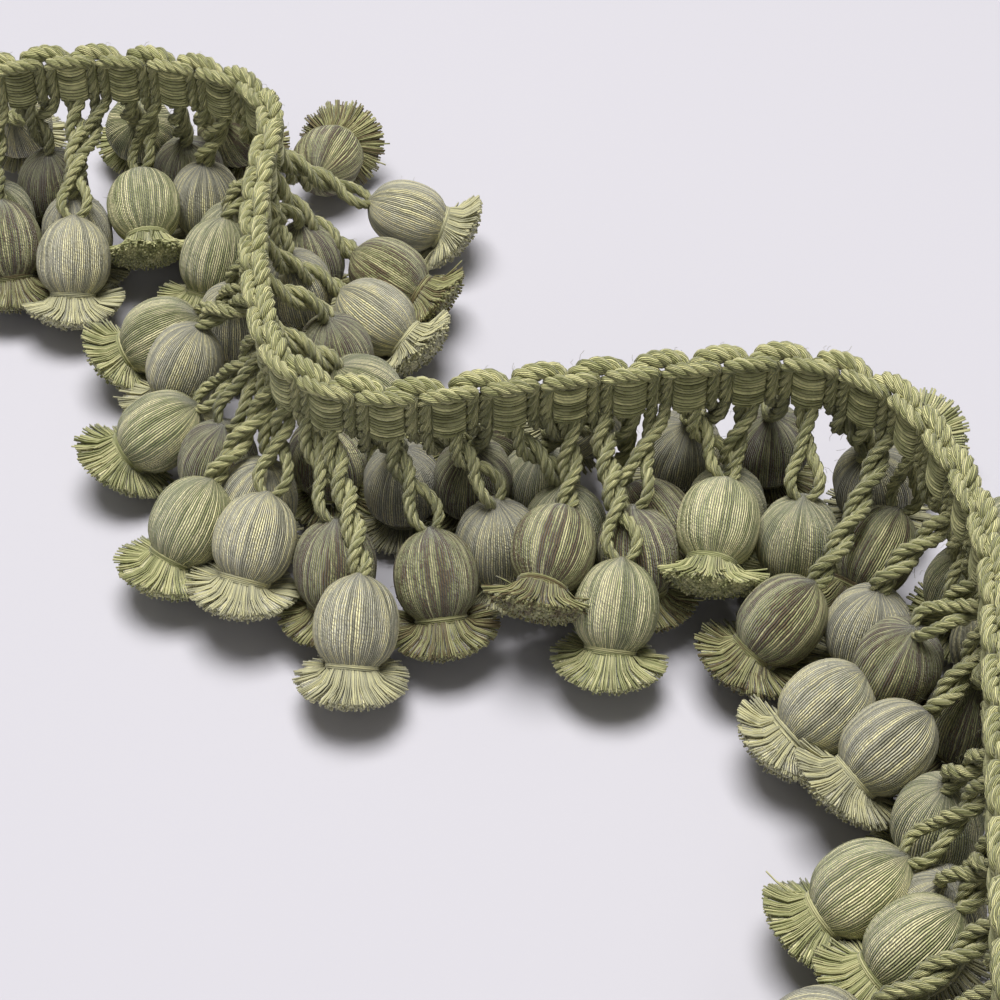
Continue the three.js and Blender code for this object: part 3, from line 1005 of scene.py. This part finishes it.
# %% Scalloped back loops
SCALLOP = [(-5.3, 0.6, 55.6), (-5.6, 0.8, 57.8), (-5.1, 1.1, 59.8), (-3.0, 1.2, 61.1), (0.0, 1.2, 61.5)]
SCALLOP_GIRTH = 1.12
scallops = Skein()
for pair in range(blocks - 1):
    centre = PITCH * (pair + 0.5)
    lean = rng.normal(0, 0.3)
    path = moved(SCALLOP, centre) + moved(SCALLOP[:-1], centre, -1)[::-1]
    tilt = np.outer(np.sin(np.pi * np.linspace(0, 1, 9)), [lean, 0, lean * 0.4])
    steps = smooth_line(np.array(path) + tilt, 30)
    line = beside(steps[:, 0], steps[:, 1], steps[:, 2])
    lay_cord(scallops, line, PLY, SCALLOP_GIRTH, CORD_LAY, rng)
scallop_piece = scallops.build("scallop_loops", [cord_look])
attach(scallop_piece, "root")
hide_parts("scallop_cord")
print("scallops:", blocks - 1, "faces:", len(scallop_piece.data.polygons))

# %% [markdown]
# ## One tassel
# A maker winds a bundle of threads over a small form, ties it at the neck, and cuts the ends level.
# The ball is a skin with a pinched crown, swellings and a fold or two where the winding is uneven,
# the fine threads left to its material. The neck is real turns of thread. The skirt is a packed
# core under real cut threads that leave the neck in locks and fan out, the outer ones most. A
# skirt near the table bends on its neck to lie on it, and whatever would still go through the
# table is pressed flat, as soft yarn is.

# %% The tassel's own directions
def own_directions(axis):
    flat = np.array([-axis[1], axis[0], 0.0])
    side = unit(flat if np.linalg.norm(flat) > 1e-3 else np.array([1.0, 0, 0]))
    return side, np.cross(axis, side)


def around(row, radius, angle, down):
    """Points round a tassel's axis; down runs from the ball's middle towards the cut end."""
    side, up = own_directions(row["axis"])
    ring = np.cos(angle)[..., None] * side + np.sin(angle)[..., None] * up
    return row["middle"] + radius[..., None] * ring + down[..., None] * row["axis"]


print("directions of tassel 1:", own_directions(tassels[0]["axis"]))

# %% Ball
BALL_CURVE = [(-0.035, 0.1), (-0.02, 0.16), (0.0, 0.24), (0.03, 0.39), (0.08, 0.57), (0.18, 0.78)]
BALL_CURVE += [(0.32, 0.93), (0.46, 1.0), (0.6, 1.01), (0.73, 0.98), (0.84, 0.9), (0.92, 0.79)]
BALL_CURVE += [(0.98, 0.66), (1.03, 0.59)]
BALL_ROWS = 20


def ball(skein, row, chance):
    sides = 56 if row["detail"] == 1 else 44
    curve = smooth_line(np.array(BALL_CURVE) * [BALL["height"], BALL["radius"]], BALL_ROWS)
    down = curve[:, 0] - BALL["height"] / 2
    angle = 2 * np.pi * np.arange(sides) / sides
    t = curve[:, :1] / BALL["height"]
    body = np.sin(np.pi * np.clip(t, 0, 1)) ** 0.5
    swell = np.zeros((BALL_ROWS, sides))
    for waves, size in ((2, 0.2), (3, 0.16), (5, 0.12), (9, 0.08), (14, 0.06)):
        swell += size * np.cos(waves * angle + chance.random() * 6.28 + chance.normal(0, 1.0) * t) * body
    for depth in chance.choice([0.0, 0.8, 1.5], 2):
        fold = chance.random() * 2 * np.pi
        apart = np.angle(np.exp(1j * (angle - fold - chance.normal(0, 0.6) * t)))
        swell -= depth * np.exp(-((apart / 0.17) ** 2)) * np.clip(1.1 - t / 0.7, 0, 1) * body
    radius = curve[:, 1:] + swell
    round_it = np.broadcast_to(angle, radius.shape)
    rings = around(row, radius, round_it, np.broadcast_to(down[:, None], radius.shape))
    run = np.cumsum(np.full((1, BALL_ROWS), 1.5), axis=1) / 10
    skein.grid(pressed(rings)[None], chance.random(), run, 0)


print("ball rows:", BALL_ROWS)

# %% Neck binding
BINDING = {"turns": 6, "radius": 0.3, "step": 0.44, "sides": 3, "around": 18}


def binding(skein, row, chance):
    top = BALL["height"] / 2 - 0.7
    angle = 2 * np.pi * np.arange(BINDING["around"] + 1) / BINDING["around"]
    tilt = chance.normal(0, 0.2)
    for turn in range(BINDING["turns"]):
        radius = 6.15 + 0.25 * math.sin(math.pi * (turn + 0.5) / BINDING["turns"]) + chance.normal(0, 0.05)
        down = top + turn * BINDING["step"] + tilt * np.cos(angle) * 0.5
        line = around(row, np.full(angle.shape, radius), angle, down)
        skein.tubes(pressed(line, 0.2)[None], BINDING["radius"], BINDING["sides"], [chance.random()], 1)


print("binding height mm:", BINDING["turns"] * BINDING["step"])

# %% How the cut threads fan out
CUT_THREAD = {"radius": 0.26, "length": 8.6, "neck": 6.2, "turn_out": 1.8}


def fan(row, angle, layer, reach):
    """Radius and depth of cut threads that have run so far out of the neck; layer 1 is outermost."""
    lobes = 1 + 0.06 * np.cos(2 * angle + row["fan"][0]) + 0.04 * np.cos(3 * angle + row["fan"][1])
    lean = row["splay"] * layer**1.5 * lobes
    walked = reach[..., None] * (np.arange(12) + 0.5) / 12
    bend = lean[..., None] * np.clip(walked / CUT_THREAD["turn_out"], 0, 1) ** 0.6
    out = CUT_THREAD["neck"] * layer + reach * np.sin(bend).mean(axis=-1)
    return out, BALL["height"] / 2 + 0.9 + reach * np.cos(bend).mean(axis=-1)


def lie_flat(row):
    """A skirt near the table bends down on its neck until it lies almost level."""
    row["neck"] = row["middle"] + row["axis"] * (BALL["height"] / 2 + 0.9)
    dip = math.degrees(math.asin(-row["axis"][2]))
    near = np.clip((20 - row["neck"][2]) / 5, 0, 1) * np.clip((dip - 28) / 15, 0, 1)
    level = np.array([row["axis"][0], row["axis"][1], 0.0]) / max(math.cos(math.radians(dip)), 1e-3)
    bent = math.radians(dip + (0.42 + 0.33 * near) * max(84 - dip, 0))
    row["fan_axis"] = math.cos(bent) * level - math.sin(bent) * np.array([0, 0, 1.0])


def fan_points(row, angle, layer, reach):
    angle, layer, reach = np.broadcast_arrays(angle, layer, reach)
    radius, down = fan(row, angle, layer, reach)
    straight = around(row, radius, angle, down)
    fan_frame = {"middle": row["neck"], "axis": row["fan_axis"]}
    bent = around(fan_frame, radius, angle, down - BALL["height"] / 2 - 0.9)
    return straight + np.clip(reach / 3, 0, 1)[..., None] * (bent - straight)


print("cut threads mm:", CUT_THREAD)

# %% Skirt core and its outer threads
OUTER = {"threads": 172, "walk": np.array([0.02, 0.3, 0.62, 1.0]), "taper": np.array([0.65, 0.85, 1.0, 1.0])}
LOCKS = {"count": 31, "gather": 0.4}
CORE = {"layer": 0.975, "sides": 32}


def skirt_core(skein, row, chance):
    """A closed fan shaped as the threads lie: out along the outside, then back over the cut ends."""
    outside = [(CORE["layer"], reach) for reach in (0.1, 0.9, 1.9, 3.2, 4.7, 6.2, 7.5)]
    ends = [(layer, 7.8) for layer in (0.88, 0.74, 0.58, 0.4, 0.22, 0.02)]
    layer, reach = np.array(outside + ends).T[..., None]
    angle = 2 * np.pi * np.arange(CORE["sides"]) / CORE["sides"]
    rings = fan_points(row, angle, layer, reach + chance.normal(0, 0.1, (len(layer), CORE["sides"])))
    along = (reach.T + np.arange(len(layer))) / 10
    skein.grid(pressed(rings)[None], chance.random(), along, 0, then=(len(outside) - 1, 3))


def outer_threads(skein, row, chance):
    """The threads on the outside cling together in small locks, with narrow gaps between."""
    count = int(OUTER["threads"] * row["detail"])
    angle = 2 * np.pi * (np.arange(count) + chance.random(count) * 0.8) / count
    lock = (angle * LOCKS["count"] / (2 * np.pi)).astype(int) % LOCKS["count"]
    centre = 2 * np.pi * (lock + 0.5 + chance.normal(0, 0.16, LOCKS["count"])[lock]) / LOCKS["count"]
    layer = 1 + chance.normal(0, 0.018, count) + chance.normal(0, 0.022, LOCKS["count"])[lock]
    loose = chance.random(count) < 0.01
    layer = np.where(loose, 1.15, layer)
    length = CUT_THREAD["length"] * (1 + chance.normal(0, 0.013, count) + 0.08 * loose)
    length = length * (1 + chance.normal(0, 0.018, LOCKS["count"])[lock])
    drift = (LOCKS["gather"] * (centre - angle) + chance.normal(0, 0.012, count))[:, None] * OUTER["walk"]
    lines = fan_points(row, angle[:, None] + drift, layer[:, None], length[:, None] * OUTER["walk"])
    size = CUT_THREAD["radius"] / row["detail"] ** 0.5 * OUTER["taper"]
    shades = 0.6 * chance.random(count) + 0.4 * chance.random(LOCKS["count"])[lock]
    skein.tubes(pressed(lines, 0.2), size[None], 3, shades, 1)


print("outer threads:", OUTER["threads"])

# %% Cut ends of the skirt
ENDS = {"rim": 84, "face": 230, "radius": 0.32}
STANDING = 78  # degrees of dip from which a tassel stands on its cut face and hides it


def cut_ends(skein, row, chance):
    """Short tips: a ring of them thickens the rim, and the rest stand all over the cut face."""
    count = int(ENDS["rim"] * row["detail"])
    angle = 2 * np.pi * (np.arange(count) + chance.random(count)) / count
    length = CUT_THREAD["length"] * (1 + chance.normal(0, 0.02, count))
    layer = chance.uniform(0.88, 0.97, count)
    lines = fan_points(row, angle[:, None], layer[:, None], length[:, None] * [0.74, 1.0])
    skein.tubes(pressed(lines, 0.2), CUT_THREAD["radius"] * 1.1, 3, chance.random(count), 1)
    if row["dip"] > STANDING:
        return
    count = int(ENDS["face"] * row["detail"])
    spread = np.linspace(0, 0.95, 40)
    wide, _ = fan(row, np.zeros(40), spread, np.full(40, CUT_THREAD["length"]))
    layer = np.interp(wide[-1] * np.sqrt((np.arange(count) + 0.5) / count), wide, spread)
    angle = np.arange(count) * math.pi * (3 - math.sqrt(5)) + chance.normal(0, 0.05, count)
    length = CUT_THREAD["length"] * (1 + chance.normal(0, 0.03, count))
    lines = fan_points(row, angle[:, None], layer[:, None], length[:, None] * [0.88, 0.98])
    skein.tubes(pressed(lines, 0.2), ENDS["radius"] / row["detail"] ** 0.5, 3, chance.random(count), 1)


def skirt(skein, row, chance):
    row["fan"] = chance.random(2) * 6.28
    row["splay"] = 1.39 + chance.normal(0, 0.08)
    lie_flat(row)
    skirt_core(skein, row, chance)
    outer_threads(skein, row, chance)
    cut_ends(skein, row, chance)


print("cut ends:", ENDS["rim"] + ENDS["face"])

# %% Fuzz on a ball
FUZZ = 14


def fuzz(skein, row, chance):
    turn = chance.random(FUZZ) * 2 * np.pi
    down = chance.uniform(-8, 9, FUZZ)
    width = BALL["radius"] * np.sqrt(np.clip(1 - (down / 12.5) ** 2, 0, 1))
    roots = around(row, width, turn, down)
    outward = unit(around(row, width + 1, turn, down) - roots)
    hairs(skein, roots, outward, np.cross(outward, row["axis"]), 1.8, chance)


print("loose fibres on a ball:", FUZZ)

# %% [markdown]
# ## The hangers
# Below the band the weft's two legs are twisted loosely round each other. Some hangers run straight
# into the crown of the ball, others open into an eye that the ball's own threads are looped through.
# Both legs follow one line: how far apart they stand and how far they have turned are functions of
# the distance along it, so the eye is simply a place where they part and stop turning. Each leg is
# the same three ply cord as the heading, only drawn a little tighter.

# %% Hanger line
HANGER = {"drop": 9.0, "lead": 8.0, "grip": 0.4, "out": -0.5, "start": 48.6}
LEG = {"girth": 0.8, "offset": 1.7, "lay": 21.0, "step": 0.95, "sides": 5}
EYE = {"length": 11.0, "width": 3.7}
WITH_EYE = {5, 7, 9, 12, 18, 20, 23, 25, 27, 29, 32, 33, 35, 37, 44, 49, 54}


def bezier(a, b, c, d, count):
    t = np.linspace(0, 1, count)[:, None]
    return a * (1 - t) ** 3 + 3 * b * t * (1 - t) ** 2 + 3 * c * t**2 * (1 - t) + d * t**3


def hanger_line(row):
    root = beside(row["slot"], HANGER["out"], HANGER["start"])[0]
    tip = row["middle"] - row["axis"] * (BALL["height"] / 2)
    below = root - [0, 0, HANGER["drop"]]
    line = bezier(root, below, tip - row["axis"] * HANGER["lead"], tip + row["axis"] * HANGER["grip"], 60)
    whole = np.linalg.norm(np.diff(line, axis=0), axis=1).sum()
    return smooth_line(line[::4].tolist() + [line[-1].tolist()], int(whole / LEG["step"]))


hanger_lengths = [float(lengths_along(hanger_line(row)[None])[0, -1]) for row in tassels]
print("hangers mm:", round(min(hanger_lengths), 1), "to", round(max(hanger_lengths), 1))


# %% Twist the two legs
def hanger(skein, row, chance):
    line = hanger_line(row)[None]
    facing = facing_at(row["slot"])
    along_band = np.array([[math.cos(facing), math.sin(facing), 0.0]])
    forward, side, up = cross_directions(line, along_band)
    walked = lengths_along(line)[0]
    whole = walked[-1]
    eye = (row["number"] in WITH_EYE or row["number"] > 70) and whole > 16
    stop = whole - min(EYE["length"], whole - 6) if eye else whole
    total = 2 * np.pi * (stop - 0.5) / (LEG["lay"] * (1 + chance.normal(0, 0.12)))
    if eye:
        at = int(np.searchsorted(walked, stop))
        flat = np.cross(forward[0, at], [0, 0, 1.0]) + 0.05 * along_band[0]
        wanted = math.atan2(flat @ up[0, at], flat @ side[0, at])
        total = wanted + math.pi * round((total - wanted) / math.pi)
    angle = total * np.clip((walked - 1.5) / (stop - 0.5), 0, 1)
    girth = np.full(walked.shape, LEG["girth"])
    apart = np.full(walked.shape, LEG["offset"])
    ending = np.exp(-(((whole - walked) / 1.8) ** 2))
    if eye:
        into = np.clip((walked - stop) / (whole - stop), 0, 1)
        apart = apart + (EYE["width"] - apart) * np.sin(np.pi * into**1.15) ** 0.8
        girth = girth - 0.08 * into
    apart = apart - 0.75 * ending
    girth = girth - 0.18 * ending
    for half in (0, 1):
        turned = angle + np.pi * half
        away = np.cos(turned)[:, None] * side[0] + np.sin(turned)[:, None] * up[0]
        leg = pressed(line[0] + away * apart[:, None], 1.8)
        lay_cord(skein, leg, PLY, girth, CORD_LAY, chance, LEG["sides"], 2)


print("a hanger's width mm:", 2 * (LEG["offset"] + LEG["girth"] * (PLY["radius"] + PLY["offset"])))

# %% Make every tassel
# Brightness of some tassels: their own darker or lighter tone, with 35 also lighter as painted light from
# above.
TONE_AND_PAINTED_SHADE = {35: 1.1, 33: 1.05, 37: 1.05, 39: 0.9, 46: 0.8, 3: 0.75, 2: 0.88, 27: 0.92, 20: 0.85}
# Painted shade: these tassels lie behind the band, where its shadow falls, and are darkened.
TONE_AND_PAINTED_SHADE.update({24: 0.7, 28: 0.7, 31: 0.75, 34: 0.7, 36: 0.7, 66: 0.7, 68: 0.7, 71: 0.7, 60: 0.8, 59: 0.8})
tassel_pieces = []
for row in tassels:
    chance = np.random.default_rng(1000 + row["number"])
    tucked_in = row["number"] > 57 or (row["out"] > 0 and not 90 < row["slot"] < 180)
    row["detail"] = 0.62 if tucked_in else 1
    skein = Skein()
    ball(skein, row, chance)
    binding(skein, row, chance)
    skirt(skein, row, chance)
    fuzz(skein, row, chance)
    hanger(skein, row, chance)
    looks = [wound[row["yarn"]], cut[row["yarn"]], cord_look, face[row["yarn"]]]
    shade = TONE_AND_PAINTED_SHADE.get(row["number"], 1 + chance.uniform(-0.06, 0.06))
    piece = skein.build(f"wound_{row['number']:02d}_{row['yarn']}", looks, shade)
    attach(piece, "root")
    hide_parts(row["node"])
    tassel_pieces.append(piece)
print("tassels made:", len(tassel_pieces), "faces each about:", len(tassel_pieces[4].data.polygons))

# %% [markdown]
# ## Totals
# The band is the one sheet of the trim, and everything else is sewn or hung on it. Its cut size is
# its height by the length of the course. The triangles of every piece are counted and the box of the
# visual model is printed.

# The band is carried by the tassels that stand nearly upright under it, and the splayed ones only hang.
# Count the triangles of every piece and measure the visual model.
triangles = 0
for piece in [band_piece, front_piece, scallop_piece, *tassel_pieces]:
    sizes = np.zeros(len(piece.data.polygons), np.int32)
    piece.data.polygons.foreach_get("loop_total", sizes)
    triangles += int((sizes - 2).sum())
low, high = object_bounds()
print("triangles:", triangles, "visual box mm:", [round(v / MM, 1) for v in high - low])
